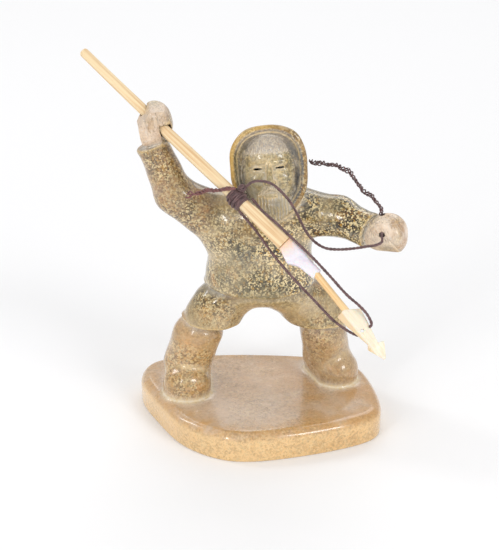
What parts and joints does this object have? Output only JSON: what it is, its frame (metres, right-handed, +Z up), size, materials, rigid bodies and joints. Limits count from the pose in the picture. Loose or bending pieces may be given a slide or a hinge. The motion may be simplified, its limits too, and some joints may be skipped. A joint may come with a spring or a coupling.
{
  "type": "carved stone figure",
  "caption": "Carved stone hunter in a hooded parka on a rounded base, raising a wooden harpoon in one mitt, with a sinew line to the other.",
  "frame": {"origin": "middle of the flat underside of the base", "axes": "+Z up, the hunter faces -Y, the raised harpoon mitt is on -X"},
  "size_m": [0.1893, 0.1407, 0.2259],
  "materials": {
    "stone": "polished, mottled with fine dark and pale grains, matte on the mitts",
    "pale_wood": "smooth bare wood",
    "bone": "polished bone or antler",
    "orange_wood": "smooth bare wood",
    "ivory": "scraped ivory or bone",
    "sinew": "dark twisted sinew, slightly waxed"
  },
  "bodies": {
    "root": {"soapstone_figure": "stone", "harpoon_shaft": "pale_wood", "harpoon_socket": "bone", "foreshaft": "orange_wood", "harpoon_head": "ivory", "shaft_lashing": "sinew", "line_strand_left": "sinew", "line_strand_right": "sinew", "line_to_hand": "sinew", "twisted_tail": "sinew", "knot_tail": "sinew"}
  },
  "joints": []
}
